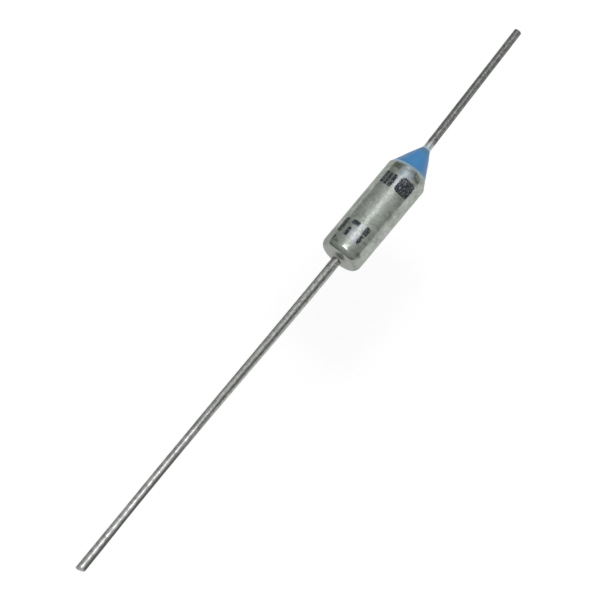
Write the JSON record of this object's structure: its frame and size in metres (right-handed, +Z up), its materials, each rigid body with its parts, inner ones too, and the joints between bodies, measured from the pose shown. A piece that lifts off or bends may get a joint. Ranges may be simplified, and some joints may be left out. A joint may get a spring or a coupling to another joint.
{
  "type": "thermal fuse",
  "caption": "Axial thermal fuse: plated metal case with its sliding contact, pellet and springs inside, a bare wire at each end, and a blue resin cone.",
  "frame": {"origin": "middle of the case's straight barrel, on its axis", "axes": "+X along the case from its closed end towards the resin cone, +Z up, and the isolated lead leans towards +Y"},
  "size_m": [0.064, 0.0041, 0.004],
  "materials": {
    "case_plating": "dull silver plate over drawn brass",
    "tinned_wire": "drawn copper wire, tinned, satin",
    "pellet": "pressed organic powder, matt",
    "disc_metal": "stamped brass sheet",
    "spring_steel": "drawn spring wire, bright",
    "contact_silver": "silver plated copper alloy sheet",
    "bushing_ceramic": "fired, unglazed",
    "resin_blue": "cured epoxy resin, satin"
  },
  "bodies": {
    "case_body": {"case": "case_plating", "case_lead": "tinned_wire", "thermal_pellet": "pellet", "trip_spring": "spring_steel", "ceramic_bushing": "bushing_ceramic", "isolated_lead": "tinned_wire", "epoxy_seal": "resin_blue"},
    "contact_carriage": {"contact_disc": "disc_metal", "star_contact": "contact_silver", "compression_spring": "spring_steel"},
    "pellet_follower": {"pellet_disc": "disc_metal"}
  },
  "joints": [
    {"name": "contact_trip", "type": "slide", "parent": "case_body", "child": "contact_carriage", "axis": [-1, 0, 0], "range_m": [0, 0.0009], "deforming": ["trip_spring", "thermal_pellet"]},
    {"name": "pellet_follow", "type": "slide", "parent": "contact_carriage", "child": "pellet_follower", "axis": [-1, 0, 0], "range_m": [0, 0.000675], "deforming": ["compression_spring"]}
  ],
  "couplings": [
    {"joint": "pellet_follow", "follows": "contact_trip", "ratio": 0.75}
  ]
}
